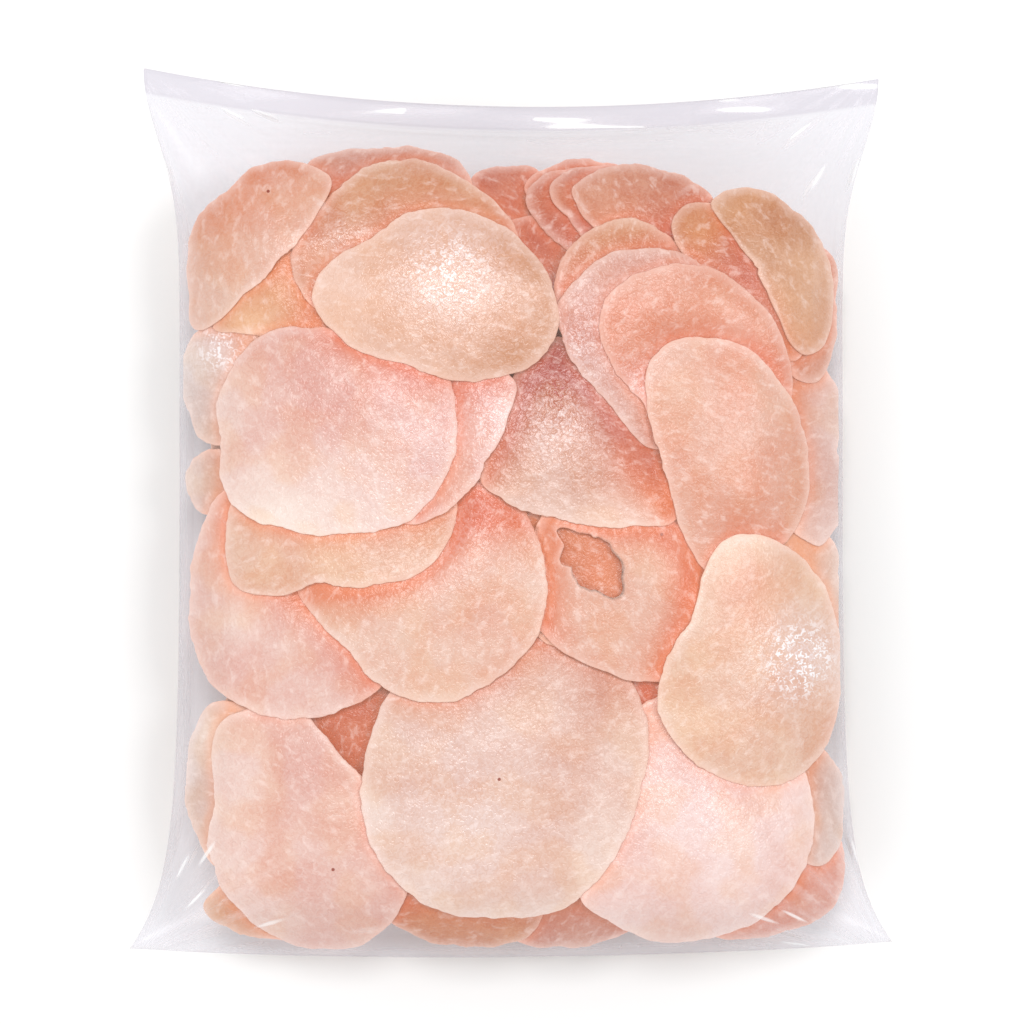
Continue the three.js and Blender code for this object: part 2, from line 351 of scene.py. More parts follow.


# ---- the papads that show

# They are listed from front to back: a papad lies below all those above it in the list. rim gives
# the places that its smooth closed outline goes through, in millimetres from the middle of the bag.
# sink is how far below the film it lies, dome how far its middle stands up and slope its tilt. tint
# names its colours, tone is the share of the pale one and fade the tone's change in each millimetre
# across and along, which is painted light and shade. warm is how strongly its colour is painted
# deeper, as shade, under the others. wet and ember are x, y, reach and amount of two spots: one with a
# coat and a painted highlight of pale sheen and white sparks, and one of painted shade. glow is a
# painted glow of its own, light that it gives off though it is no lamp. hole is the middle of a hole
# and its outline. What a papad doesn't say is as in PLAIN.
PLAIN = dict(tone=0.35, painted_light_slope=(0, 0), warm=1.0, dome=1.0, slope=(0, 0), wet=None, ember=None,
             glow=0.0, hole=None)
PAPADS = {
    "upper_cream": dict(tint="cream", tone=-0.2, painted_light_slope=(-0.03, 0), sink=0.2, dome=2.2, slope=(0.01, 0.02),
        wet=(-16, 64, 16, 0.6), rim=[(13, 51.5), (8.5, 65), (-0.5, 75), (-11.5, 80), (-28, 80),
        (-38.5, 72.5), (-53.5, 59), (-45, 46), (-29.5, 39.5), (-14, 35), (0.5, 36.5), (9.5, 42.5)]),
    "right_lower_apricot": dict(tint="apricot", sink=0.2, dome=2.2, slope=(-0.02, 0),
        wet=(78, -40, 12, 1.0), ember=(62, -19, 10, 0.35), rim=[(51.5, -16.5), (56, -8.5), (64, -6),
        (74.5, -10), (86, -21.5), (90, -37.5), (90, -51), (84, -66), (73.5, -73), (63.5, -73.5),
        (53, -69.5), (43.5, -61.5), (39, -49.5), (41, -41), (48.5, -27.5)]),
    "top_left_leaf": dict(tint="salmon", painted_light_slope=(0, -0.03), sink=0.4, dome=1.5, rim=[(-88.5, 70), (-85, 80),
        (-77, 86.5), (-67, 94), (-55, 94), (-48.5, 89.5), (-52, 80.5), (-60.5, 69), (-71, 58.5),
        (-86, 49.5), (-88, 59.5)]),
    "left_rose": dict(tint="rose", tone=0.1, painted_light_slope=(-0.02, -0.04), warm=2.0, sink=0.2, dome=1.8,
        slope=(0, -0.06), wet=(-24, 12, 22, 0.3), rim=[(-14.5, 25), (-18.5, 6.5), (-26.5, -2), (-43, -6),
        (-60.5, -5), (-75.5, 2.5), (-78.5, 18.5), (-79.5, 29.5), (-75.5, 38), (-65.5, 48), (-50, 49),
        (-32.5, 47), (-18.5, 39)]),
    "right_salmon": dict(tint="salmon", tone=-0.05, sink=0.3, dome=1.6, rim=[(36.5, 39.5), (43, 45),
        (54.5, 46), (64, 43), (71.5, 35.5), (77.5, 26), (80.5, 14.5), (80.5, 5.5), (76.5, -5), (66.5, -15),
        (53.5, -17), (47, -9), (43, 2.5), (40, 15), (36, 29.5)]),
    "right_back_salmon": dict(tint="salmon", tone=-0.7, sink=0.5, dome=1.4, wet=(36, 34, 9, 0.4),
        rim=[(23.5, 48.5), (24.5, 56), (32, 62.5), (44.5, 66), (58, 63), (67.5, 55), (74.5, 43), (75, 27),
        (64, 13.5), (48, 11), (36, 27), (27, 38.5)]),
    "behind_left_rose": dict(tint="rose", tone=-0.5, warm=1.3, sink=0.6, slope=(0.03, -0.06),
        wet=(-5, 24, 14, 0.4), rim=[(1, 34), (-1, 24), (-6, 13.5), (-11.5, 4.5), (-19, -1), (-29.5, -3),
        (-37, 8.5), (-35, 27), (-24.5, 40.5), (-8.5, 43)]),
    "centre_rose_fan": dict(tint="dusty", tone=-0.7, sink=0.8, dome=1.2, wet=(20, 45, 14, 0.4),
        rim=[(12, 53.5), (16.5, 61), (25, 68), (34.5, 70), (50, 67), (60, 56.5), (62, 40.5), (54.5, 21.5),
        (39, 16.5), (27, 28), (15.5, 42)]),
    "centre_shell": dict(tint="shell", tone=-0.35, painted_light_slope=(0, -0.08), warm=3.0, sink=0.6, dome=1.8,
        slope=(0, -0.1), wet=(13, 23, 17, 0.4), ember=(38, 14, 13, 1.25), rim=[(-8, 8), (-3, 3.5),
        (11, -1.5), (22, -4), (32.5, -4), (44, -2.5), (46.5, 11), (40, 28.5), (26.5, 43), (12.5, 46.5),
        (2, 38), (-5, 23)]),
    "strip_apricot": dict(tint="apricot", tone=-0.2, warm=1.3, sink=0.8, slope=(0, -0.05),
        rim=[(-75.5, 2.5), (-76.5, -12), (-74, -20.5), (-65.5, -23), (-52.5, -19.5), (-37, -20),
        (-27.5, -18), (-18, -10), (-14.5, 1.5), (-21.5, 12.5), (-37.5, 17), (-56.5, 16), (-70, 11)]),
    "centre_salmon": dict(tint="salmon", tone=0.85, painted_light_slope=(-0.008, -0.015), warm=3.0, sink=0.4, dome=1.8,
        slope=(0, -0.05), wet=(-18, -5, 16, 0.3), ember=(-4, -1, 9, 0.9), rim=[(-57.5, -20.5), (-52, -28.5),
        (-44, -37), (-33.5, -47.5), (-22.5, -51), (-11, -49), (-1.5, -42.5), (6, -35.5), (9.5, -21),
        (7, -6.5), (1, 3), (-8.5, 9), (-21.5, 12), (-35, 10.5), (-48.5, 0.5)]),
    "torn_salmon": dict(tint="salmon", tone=0.6, warm=2.6, sink=1.0, dome=1.2, slope=(0, -0.05),
        ember=(46, -20, 7, 0.4), rim=[(7.5, -32), (11, -35.5), (22.5, -41.5), (34.5, -45.5), (42, -45.5),
        (52, -38.5), (55, -24), (52, -9), (40, 0.5), (24, 4.5), (9, -0.5), (4.5, -13)], hole=((21.0, -13.0),
        [(12.6, -5.4), (14.5, -9.1), (13.7, -11.8), (14.5, -13.9), (17.2, -14.6), (19.5, -18.5),
        (23, -19.8), (26.5, -21.7), (28.6, -20.3), (28.1, -16.6), (27.6, -13.9), (26, -11.8), (24.1, -8.8),
        (22.2, -7.5), (17.9, -5.9)])),
    "under_tear": dict(tint="honey", tone=1.0, warm=0.6, sink=2.6, slope=(0, -0.05), rim=[(3, -22),
        (8, -34), (22, -38), (36, -34), (41, -18), (37, -2), (24, 8), (10, 6), (1, -6)]),
    "bottom_centre_pearl": dict(tint="pearl", tone=0.3, painted_light_slope=(-0.008, -0.02), sink=0.3, dome=2.0,
        slope=(0, -0.05), wet=(-12, -80, 26, 0.35), rim=[(-36.5, -58), (-40, -76.5), (-37.5, -88.5),
        (-28, -101.5), (-17, -107.5), (-3, -109), (11, -107.5), (24, -97.5), (34, -76.5), (36.5, -65.5),
        (34.5, -50.5), (27, -40), (13, -33.5), (-3, -31), (-19, -34.5), (-30.5, -45)]),
    "bottom_right_blush": dict(tint="blush", tone=0.25, warm=0.5, sink=0.8, dome=1.4, slope=(0, -0.05),
        wet=(50, -77, 26, 0.3), rim=[(18.5, -103.5), (27, -111), (39.5, -116.5), (53.5, -116),
        (66.5, -110.5), (76, -101.5), (81.5, -90), (81.5, -77), (74.5, -62.5), (61.5, -52), (45, -48.5),
        (32, -54), (23.5, -69.5), (18, -88)]),
    "left_middle_rose": dict(tint="rose", tone=0.55, painted_light_slope=(-0.01, 0.01), warm=1.4, sink=1.0, dome=1.4,
        rim=[(-77.5, 5.5), (-84, -4), (-87.5, -20.5), (-86.5, -36), (-80, -48), (-70, -53.5),
        (-58.5, -55.5), (-45.5, -53), (-34.5, -47), (-29, -34.5), (-31, -16), (-40.5, 0.5), (-56.5, 8.5),
        (-68.5, 9.5)]),
    "bottom_left_rose": dict(tint="rose", tone=0.5, painted_light_slope=(-0.015, 0), warm=0.5, sink=0.9, dome=1.6,
        rim=[(-72.5, -54), (-79.5, -59), (-80, -76), (-81.5, -91.5), (-78, -101.5), (-70, -111),
        (-58.5, -118.5), (-43, -119), (-32, -110.5), (-27, -100), (-31, -85.5), (-40, -71), (-46.5, -64),
        (-54.5, -55), (-63, -51.5)]),
    "upper_orange": dict(tint="peach", tone=-0.2, sink=1.2, dome=1.4, wet=(-46, 72, 10, 0.35),
        rim=[(-45.5, 88), (-38, 93.5), (-28.5, 95.5), (-19, 93), (-10.5, 88), (-2.5, 81.5), (2.5, 71.5),
        (-3, 56.5), (-19, 48.5), (-38, 48.5), (-52, 54), (-58.5, 63), (-57.5, 74), (-51.5, 82)]),
    "upper_back_rose": dict(tint="dusty", tone=-0.3, sink=2.0, rim=[(-55, 94.5), (-46.5, 98), (-36, 99),
        (-24.5, 99), (-16, 96.5), (-10, 88.5), (-11, 77), (-24.5, 70), (-43, 71.5), (-54.5, 82)]),
    "left_peach_wedge": dict(tint="peach", tone=1.4, sink=2.0, rim=[(-80.5, 50), (-74, 48), (-66.5, 46.5),
        (-55.5, 44.5), (-46, 50), (-46, 62), (-52, 72), (-62, 75), (-70, 68), (-75, 59.5)]),
    "right_top_honey": dict(tint="honey", tone=0.5, sink=1.0, rim=[(54, 82.5), (57.5, 86), (63, 87.5),
        (69, 86.5), (76, 82), (83, 75), (87, 66), (88, 56.7), (86.5, 47.3), (80, 42), (75, 45.5), (72, 52),
        (68.3, 59.4), (64.6, 66.9), (59.2, 74.2), (55.4, 79.3)]),
    "right_top_amber": dict(tint="amber", tone=0.0, warm=1.4, sink=2.0, dome=0.8, rim=[(43, 77.5), (46, 82),
        (52, 83.5), (62, 80), (72, 72), (79, 60), (80.5, 49), (77, 40), (69, 44), (61, 53), (53, 61),
        (46, 69), (43.5, 73)]),
    "right_top_pale": dict(tint="shell", sink=2.5, dome=0.8, rim=[(75, 77), (80.5, 74.5), (88, 69.5),
        (88.5, 58), (88, 45), (83, 35), (76, 36), (73, 50), (74, 66)]),
    "centre_peach_fan": dict(tint="peach", tone=-0.35, sink=1.6, dome=1.2, rim=[(12, 56.5), (13.5, 67.5),
        (20.5, 74.5), (32, 78.5), (42, 74.5), (49.5, 62), (49.5, 46), (34.5, 34), (18.5, 40.5)]),
    "top_coral_a": dict(tint="coral", tone=0.2, sink=2.2, dome=1.4, rim=[(17, 87.5), (24.5, 92.5),
        (37.5, 93.5), (47.5, 90), (54, 85), (57, 74.5), (51, 62), (38, 60.5), (25, 72.5), (18, 82.5)]),
    "top_coral_b": dict(tint="coral", tone=-0.35, sink=3.4, dome=1.2, rim=[(10.5, 87), (14.5, 92), (24, 94),
        (36, 92.5), (42.5, 82.5), (37, 71.5), (25, 70.5), (15, 79)]),
    "top_coral_c": dict(tint="coral", tone=-0.1, sink=4.6, dome=1.2, rim=[(4, 84.5), (8, 90.5),
        (17.5, 93.5), (29.5, 92), (36, 82.5), (31, 72), (20, 68.5), (9, 76)]),
    "top_coral_d": dict(tint="coral", tone=0.25, sink=5.8, rim=[(-3, 76), (5, 80), (17.5, 81), (27.5, 74.5),
        (25.5, 64.5), (17, 56), (7, 56), (-1, 65)]),
    "top_coral_e": dict(tint="coral", sink=6.5, rim=[(4, 89), (11, 94.5), (22, 96), (31.5, 94), (39, 88.5),
        (35, 80), (21.5, 77.5), (9, 81)]),
    "top_coral_f": dict(tint="coral", tone=0.45, sink=6.0, dome=1.2, rim=[(-10.5, 90.5), (-5.5, 93.5),
        (1.5, 94.5), (7, 93.5), (10.5, 87), (9, 77.5), (1, 73.5), (-7.5, 77.5), (-11, 84.5)]),
    "right_edge_rose": dict(tint="dusty", tone=1.4, sink=2.0, dome=1.2, rim=[(74, 43), (82, 43.5), (88, 36),
        (89, 16.5), (88.5, -5), (83.5, -9.5), (77, -6.5), (69.5, 4.5), (68.5, 24.5)]),
    "right_edge_pearl": dict(tint="haze", tone=0.85, sink=2.5, rim=[(64, -4), (76, -2), (87, -7),
        (90.5, -20), (90.5, -40), (84, -46), (72, -34), (64, -18)]),
    "right_edge_grey": dict(tint="haze", tone=-0.15, sink=3.0, rim=[(73, -51), (82.5, -62), (90, -71.5),
        (91, -82.5), (89.5, -92.5), (84, -96.5), (75.5, -92), (69, -75.5)]),
    "bottom_right_corner": dict(tint="rose", tone=-0.1, sink=3.0, dome=1.2, rim=[(51, -112.5), (57, -117),
        (63, -117), (74, -115.5), (82.5, -112.5), (89.5, -106.5), (92, -97.5), (89, -88), (75.5, -81),
        (59.5, -86.5), (50, -100)]),
    "bottom_peach": dict(tint="amber", tone=0.4, sink=3.0, dome=1.2, rim=[(-33.5, -109.5), (-27.5, -114.5),
        (-20.5, -117.5), (-12, -118.5), (-1.5, -118), (5, -115.5), (8.5, -109.5), (6.5, -97.5), (-5.5, -92),
        (-22, -93.5), (-32.5, -101.5)]),
    "bottom_pink": dict(tint="dusty", tone=0.3, sink=4.0, rim=[(-1.5, -114), (4, -118), (13.5, -119),
        (23, -118), (30, -115.5), (36.5, -107), (32.5, -95), (16, -90.5), (2.5, -97.5)]),
    "left_edge_beige": dict(tint="haze", tone=0.55, sink=2.5, wet=(-79, 44, 9, 0.7), rim=[(-89, 43.5),
        (-86, 48), (-76, 52), (-63, 50), (-61, 36), (-68, 24), (-77, 18), (-84, 19), (-88.5, 27.5)]),
    "left_edge_curl": dict(tint="haze", tone=0.5, sink=3.0, rim=[(-89, 11), (-85.5, 15.5), (-77.5, 16.5),
        (-72, 8.5), (-76.5, -0.5), (-84, -0.5), (-88, 4.5)]),
    "left_low_beige": dict(tint="haze", tone=1.1, sink=2.5, rim=[(-88.5, -72.5), (-86.5, -60.5),
        (-82, -52.5), (-72, -52.5), (-65, -67.5), (-65.5, -86), (-73, -96.5), (-80, -96.5),
        (-85.5, -88.5)]),
    "left_corner_beige": dict(tint="peach", tone=1.4, sink=3.5, rim=[(-84, -107), (-80.5, -102.5),
        (-68, -100), (-54.5, -105.5), (-52.5, -114.5), (-65.5, -116.5), (-77, -114), (-82.5, -111)]),
    "crevice_coral": dict(tint="coral", tone=0.9, sink=5.0, rim=[(-54.5, -48.5), (-43.5, -43.5),
        (-32, -48.5), (-28.5, -62), (-34, -75.5), (-45, -78), (-55.5, -70), (-58.5, -56.5)]),
    "right_crevice_pink": dict(tint="salmon", tone=-0.5, warm=0.6, sink=4.0, rim=[(27, -46), (31, -37),
        (42, -36), (52, -42), (57.5, -59), (52, -73.5), (41.5, -78), (33.5, -69.5), (29.5, -57.5)]),
}


def reaches(centre, rim, seed):
    """Which cells a papad covers, worked out only in the rectangle that holds it and a margin."""
    low, high = np.min(rim, 0) - RIM_MARGIN, np.max(rim, 0) + RIM_MARGIN
    columns = slice(*np.searchsorted(GRID_X, (low[0], high[0])))
    rows = slice(*np.searchsorted(GRID_Y, (low[1], high[1])))
    x, y = XX[rows, columns] - centre[0], YY[rows, columns] - centre[1]
    angle = np.arctan2(y, x)
    inside = np.zeros(XX.shape, bool)
    inside[rows, columns] = np.hypot(x, y) <= ragged(rim_radius(angle, rim, centre), angle, seed) + CELL
    return inside


def lay_under(ceiling, rest, centre, rim, seed):
    """Lays one papad: its resting shape, pushed down wherever the ceiling is lower. The ceiling
    drops to its underside. Gives the cells that it covers and the height of its top."""
    inside = reaches(centre, rim, seed)
    top = rest - draped(np.where(inside, np.maximum(0, rest - (ceiling - GAP)), 0))
    ceiling[inside] = np.minimum(ceiling, top - THICKNESS)[inside]
    return inside, top


def resting_shape(film, centre, rim, sink, dome, slope, seed):
    """The film's smoothed height less the sink, a dome that falls with the square of the share of
    the way out, a tilt and ripples."""
    x, y = XX - centre[0], YY - centre[1]
    size = np.hypot(*(np.array(rim, float) - centre).T).mean()
    share = np.hypot(x, y) / size
    ripple = RIPPLE_HEIGHT * layered_noise(x, y, RIPPLE_SIZE, seed, 2) * np.minimum(1, RIPPLE_CALM + share)
    return film - sink + dome * (DOME_LEVEL - share ** 2) + slope[0] * x + slope[1] * y + ripple


def papad_profile(rings):
    """Steps from the top's middle to the rim and back under to the middle: the share of the way
    out, closer together towards the rim, and whether the step is on top."""
    share = np.sin(np.linspace(0, 1, rings + 1)[1:] * math.pi / 2) ** RING_SPREAD
    under = np.sin(np.linspace(1, 0, max(8, rings // 3) + 1)[:-1] * math.pi / 2)
    return np.concatenate([share, under])[:, None], np.arange(len(share) + len(under))[:, None] < rings


def papad_points(top, centre, rim, seed, spokes, rings, hole=None):
    """A papad as rings of points about its centre, from the top's middle over the rim and back,
    and how close each is to the rim, 1 on it.

    The distance out is the share of the rim's distance, or from the hole's edge to the rim. The
    underside lies a thickness below the laid surface, and the top curves down to a thin rim. Both
    carry the same lumps, the top fine grain too, and nothing passes the film's sides."""
    angle = np.linspace(0, 2 * math.pi, spokes, endpoint=False)
    edge = ragged(rim_radius(angle, rim, centre), angle, seed)
    inner = angle * 0
    if hole is not None:
        inner = ragged(rim_radius(angle, hole, centre), angle, seed + 3, TEAR_DEPTH)
    share, on_top = papad_profile(rings)
    distance = inner + (edge - inner) * share
    inward = edge - distance
    if hole is not None:
        inward = np.minimum(inward, distance - inner)
    x = centre[0] + distance * np.cos(angle)
    y = centre[1] + distance * np.sin(angle)
    limit = SIDE_LIMIT * half_width(bag_uv(x, y)[1])
    x = np.clip(x, -limit, limit)
    thick = RIM_THICKNESS + (THICKNESS - RIM_THICKNESS) * swell(inward, RIM_REACH)
    lumps = LUMP_HEIGHT * layered_noise(x - centre[0], y - centre[1], LUMP_SIZE, seed + 11)
    grain = GRAIN_HEIGHT * noise(x - centre[0], y - centre[1], GRAIN_SIZE, seed + 17) * on_top
    uneven = (lumps + grain) * np.clip(inward / LUMP_FADE, 0.1, 1)
    z = sampled(top, x, y) - THICKNESS + uneven + np.where(on_top, thick, 0)
    return np.stack([x, y, z], -1), np.clip(1 - inward / PALE_RIM, 0, 1)


def ring_faces(rows, columns, closed_hole):
    """Quads between each ring and the next, and fans, or quads through the hole, at the middle."""
    row, column = np.meshgrid(np.arange(rows - 1), np.arange(columns), indexing="ij")
    after = (column + 1) % columns
    quads = np.stack([row * columns + column, (row + 1) * columns + column,
                      (row + 1) * columns + after, row * columns + after], -1).reshape(-1, 4)
    first, last = np.arange(columns), (rows - 1) * columns + np.arange(columns)
    first_after, last_after = np.roll(first, -1), np.roll(last, -1)
    if closed_hole:
        return quads.tolist() + np.stack([last, first, first_after, last_after], -1).tolist()
    top, bottom = rows * columns, rows * columns + 1
    fans = np.concatenate([np.stack([first * 0 + top, first, first_after], -1),
                           np.stack([last * 0 + bottom, last_after, last], -1)])
    return quads.tolist() + fans.tolist()


def spot(x, y, place):
    """A soft round spot, given as its x, y, reach and amount: a bell curve over the distance."""
    if place is None:
        return x * 0
    return place[3] * np.exp(-(np.hypot(x - place[0], y - place[1]) / place[2]) ** 2)


# How far each papad is turned in the patterns from the one before, in radians, and the cells of the
# sheet on which each has its place, in millimetres, with so many in a row.
OWN_TURN = 2.4
SHEET_CELL = (171.0, 133.0)
SHEET_ROW = 17


def own_places(vertices, centre, seed):
    """A papad's own part of the patterns: its points turned about its centre and moved to its cell
    of the sheet."""
    x, y, z = (vertices - [centre[0], centre[1], 0]).T
    own = np.stack([*turned(x, y, seed * OWN_TURN), z], -1)
    return own + [SHEET_CELL[0] * (seed % SHEET_ROW), SHEET_CELL[1] * (seed // SHEET_ROW), 0]


def papad_surface(top, look, centre, rim, seed, grid, hole=None):
    """Vertices, faces, own places and the values that the finish follows, of one closed papad.

    Its shade is how much of the light round each place is held off by the papads above it, its
    contact the same close by, and its backing how closely those below lie under it. Its colour is
    painted deeper with its shade and its depth below the film, as painted shade, and painted paler over
    what backs it, as painted light; its tone also slopes across it, as painted light and shade. A
    painted glow, light that it gives off though it is no lamp, lies at its rim, where it is in painted
    shade and along the edges of the papads on it."""
    spokes, rings = grid
    points, rim_share = papad_points(top, centre, rim, seed, spokes, rings, hole)
    vertices, share = points.reshape(-1, 3), rim_share.reshape(-1)
    if hole is None:
        middles = np.array([points[0].mean(0), points[-1].mean(0)])
        vertices = np.concatenate([vertices, middles])
        share = np.concatenate([share, [0, 0]])
    faces = ring_faces(len(points), spokes, hole is not None)
    own = own_places(vertices, centre, seed)
    x, y, z = vertices.T
    mottle = look["tone"] + MOTTLE_STRENGTH * layered_noise(own[:, 0], own[:, 1], MOTTLE_SIZE, MOTTLE_SEED, 4)
    # Painted shade: a little of it all over a hidden papad.
    cover = share * 0 + HIDDEN_PAINTED_SHADE
    # A painted glow at its rim, and the glow that it is given, light given off though it is no lamp.
    lit = look["glow"] + RIM_PAINTED_GLOW * share ** 4
    if "shade" in look:
        # Painted shade: its colour deepens under the papads above, with its depth below the film and at its
        # spot of painted shade.
        shaded = look["warm"] * SHADE_STRENGTH * sampled(look["shade"], x, y) ** 1.5
        depth = np.clip((sampled(FRONT, x, y) - z - DEPTH_START) / DEPTH_REACH, 0, 1)
        cover = np.minimum(np.clip(shaded + depth, 0, 1) + spot(x, y, look["ember"]), DEEPEST_PAINTED_SHADE)
        # Painted light and shade: the tone slopes across the papad, and it pales where papads lie close below
        # it.
        mottle = mottle + look["painted_light_slope"][0] * (x - centre[0]) + look["painted_light_slope"][1] * (y - centre[1])
        mottle = mottle + BACKING_PAINTED_LIGHT * (sampled(look["backing"], x, y) - USUAL_BACKING)
        # A painted glow along the edges of the papads on it, light given off though it is no lamp.
        touch = sampled(look["contact"], x, y)
        lit = lit + CONTACT_PAINTED_GLOW * touch * (1 - touch)
    return vertices, faces, own, {"lit": lit + SHADE_PAINTED_GLOW * cover, "rim": share, "cover": cover,
                                  "mottle": mottle, "wet": LEAST_SHEEN_AND_COAT + spot(x, y, look["wet"])}


def joined(surfaces):
    """Several surfaces as one: vertices one after another, and faces counted on."""
    counts = np.cumsum([0] + [len(s[0]) for s in surfaces])
    faces = [[i + n for i in face] for s, n in zip(surfaces, counts) for face in s[1]]
    vertices, own = (np.concatenate([s[k] for s in surfaces]) for k in (0, 2))
    values = {label: np.concatenate([s[3][label] for s in surfaces]) for label in surfaces[0][3]}
    return vertices, faces, own, values


def in_scene(name, data):
    """An object of this name and data, in the scene."""
    made = bpy.data.objects.new(name, data)
    bpy.context.scene.collection.objects.link(made)
    return made


def new_piece(name, vertices, faces, values, material):
    """A smooth mesh piece in metres that rides on the bag, with its values as attributes that its
    material reads."""
    mesh = bpy.data.meshes.new(name)
    mesh.from_pydata((np.asarray(vertices) * MM).tolist(), [], faces)
    mesh.polygons.foreach_set("use_smooth", np.ones(len(mesh.polygons), bool))
    mesh.materials.append(material)
    for label, amounts in values.items():
        attribute = mesh.attributes.new(label, "FLOAT", "POINT")
        attribute.data.foreach_set("value", amounts.astype(np.float32))
    piece = in_scene(name, mesh)
    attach(piece, "root")
    return piece


def papad_piece(name, surface, tint, materials):
    """A papad piece of one tint, with its own places as an attribute."""
    vertices, faces, own, values = surface
    piece = new_piece(name, vertices, faces, values, materials[tint])
    place = piece.data.attributes.new("own_place", "FLOAT_VECTOR", "POINT")
    place.data.foreach_set("vector", (own * MM).astype(np.float32).ravel())


# ---- finishes

def linear(red, green, blue):
    """A colour given in parts of 255, as the linear RGBA that a shader takes."""
    parts = np.array([red, green, blue]) / 255
    low, high = parts / 12.92, ((parts + 0.055) / 1.055) ** 2.4
    return (*np.where(parts <= 0.04045, low, high).tolist(), 1.0)


# Pale and deep colour of each kind of papad, and the name of a slot.
TINTS = {
    "rose": ((229, 196, 182), (219, 170, 155), "papad_rose"),
    "blush": ((238, 211, 202), (229, 190, 178), "papad_rose"),
    "dusty": ((214, 180, 168), (201, 150, 132), "papad_rose"),
    "salmon": ((219, 172, 149), (213, 148, 120), "papad_peach"),
    "peach": ((215, 169, 132), (202, 140, 100), "papad_peach"),
    "coral": ((206, 141, 108), (188, 107, 71), "papad_peach"),
    "amber": ((208, 150, 103), (191, 119, 71), "papad_peach"),
    "honey": ((206, 153, 115), (187, 126, 84), "papad_cream"),
    "apricot": ((228, 195, 170), (217, 168, 140), "papad_cream"),
    "cream": ((225, 182, 158), (212, 162, 133), "papad_cream"),
    "pearl": ((225, 195, 179), (214, 172, 153), "papad_cream"),
    "shell": ((215, 175, 155), (199, 146, 120), "papad_cream"),
    # The papads at the sides, their colour painted paler and greyer for the film's haze over them.
    "haze": ((224, 216, 210), (209, 191, 182), "papad_cream"),
}
FLECK = linear(255, 236, 226)
PEACH = linear(255, 247, 236)
# A pale tone painted on as a highlight, a painted sheen.
PAINTED_SHEEN_TONE = linear(244, 230, 236)
SPECK = linear(150, 70, 50)
# The tone that painted shade multiplies a papad's colour by.
PAINTED_SHADE_TONE = linear(238, 174, 138)
# The tone of a painted glow, light given off though it is no lamp.
PAINTED_GLOW_TONE = linear(188, 112, 70)
WHITE = (1, 1, 1, 1)
BLACK = (0, 0, 0, 1)
FILM_TONE = (0.942, 0.939, 0.962, 1)
SEAL_TONE = (0.865, 0.852, 0.888, 1)
FILM_HAZE = (0.98, 0.96, 1, 1)


def add_node(tree, kind, values=None, **settings):
    """A shader node with its settings, whose inputs are linked to a socket or set to a value."""
    node = tree.nodes.new("ShaderNode" + kind)
    for key, value in settings.items():
        setattr(node, key, value)
    for key, value in (values or {}).items():
        if isinstance(value, bpy.types.NodeSocket):
            tree.links.new(value, node.inputs[key])
        else:
            node.inputs[key].default_value = value
    return node


def worked(tree, operation, first, second=0.0):
    """The result of a sum on one or two values."""
    return add_node(tree, "Math", {0: first, 1: second}, operation=operation).outputs[0]


def times(tree, product, *factors):
    """Values multiplied, one after another."""
    for factor in factors:
        product = worked(tree, "MULTIPLY", product, factor)
    return product


def plus(tree, first, second):
    """Two values added."""
    return worked(tree, "ADD", first, second)


def minus(tree, first, second):
    """The first value less the second."""
    return worked(tree, "SUBTRACT", first, second)


def mask(tree, value, low, high):
    """A value taken from low to high as 0 to 1, eased at both ends."""
    return add_node(tree, "MapRange", {"Value": value, "From Min": low, "From Max": high},
                    interpolation_type="SMOOTHSTEP").outputs["Result"]


def mixed(tree, share, first, second, **settings):
    """Two colours mixed by a share from 0 to 1."""
    return add_node(tree, "Mix", {0: share, 6: first, 7: second}, data_type="RGBA", **settings).outputs[2]


def deepened(tree, share, body, tone):
    """A colour multiplied by a tone, up to the share, which may pass 1."""
    return mixed(tree, share, body, tone, blend_type="MULTIPLY", clamp_factor=False)


def clouds(tree, place, scale, detail, **values):
    """Smooth noise from 0 to 1 read at a place, with its scale in waves to the metre."""
    return add_node(tree, "TexNoise", {"Vector": place, "Scale": scale, "Detail": detail, **values},
                    noise_dimensions="2D").outputs["Fac"]


def lone_dots(tree, place, scale, chosen, edge):
    """A dot in some cells of a pattern: those whose random value passes the range chosen. A dot
    fades over the range of distances of its edge."""
    cells = add_node(tree, "TexVoronoi", {"Vector": place, "Scale": scale}, voronoi_dimensions="2D").outputs
    return times(tree, mask(tree, cells["Color"], *chosen), mask(tree, cells["Distance"], *edge))


def own_value(tree, label):
    """A value of the piece's own, read from its attribute."""
    return add_node(tree, "Attribute", attribute_name=label).outputs["Fac"]


def plain_shader(tree, kind, colour, **values):
    """A plain shader of one kind and colour."""
    return add_node(tree, "Bsdf" + kind, {"Color": colour, **values}).outputs[0]


def layered(tree, share, under, over):
    """Two shaders mixed by a share from 0 to 1."""
    return add_node(tree, "MixShader", {0: share, 1: under, 2: over}).outputs[0]


def new_group(name, inputs, outputs):
    """An empty node group with its sockets named by kind, and its input and output nodes."""
    tree = bpy.data.node_groups.new(name, "ShaderNodeTree")
    for way, kinds in (("INPUT", inputs), ("OUTPUT", outputs)):
        for kind, labels in kinds.items():
            for label in labels.split():
                tree.interface.new_socket(label, in_out=way, socket_type="NodeSocket" + kind)
    return tree, tree.nodes.new("NodeGroupInput").outputs, tree.nodes.new("NodeGroupOutput").inputs


def finish_group(tree, made, results):
    """Links each result to the group's output of that name."""
    for label, socket in results.items():
        tree.links.new(socket, made[label])
    return tree


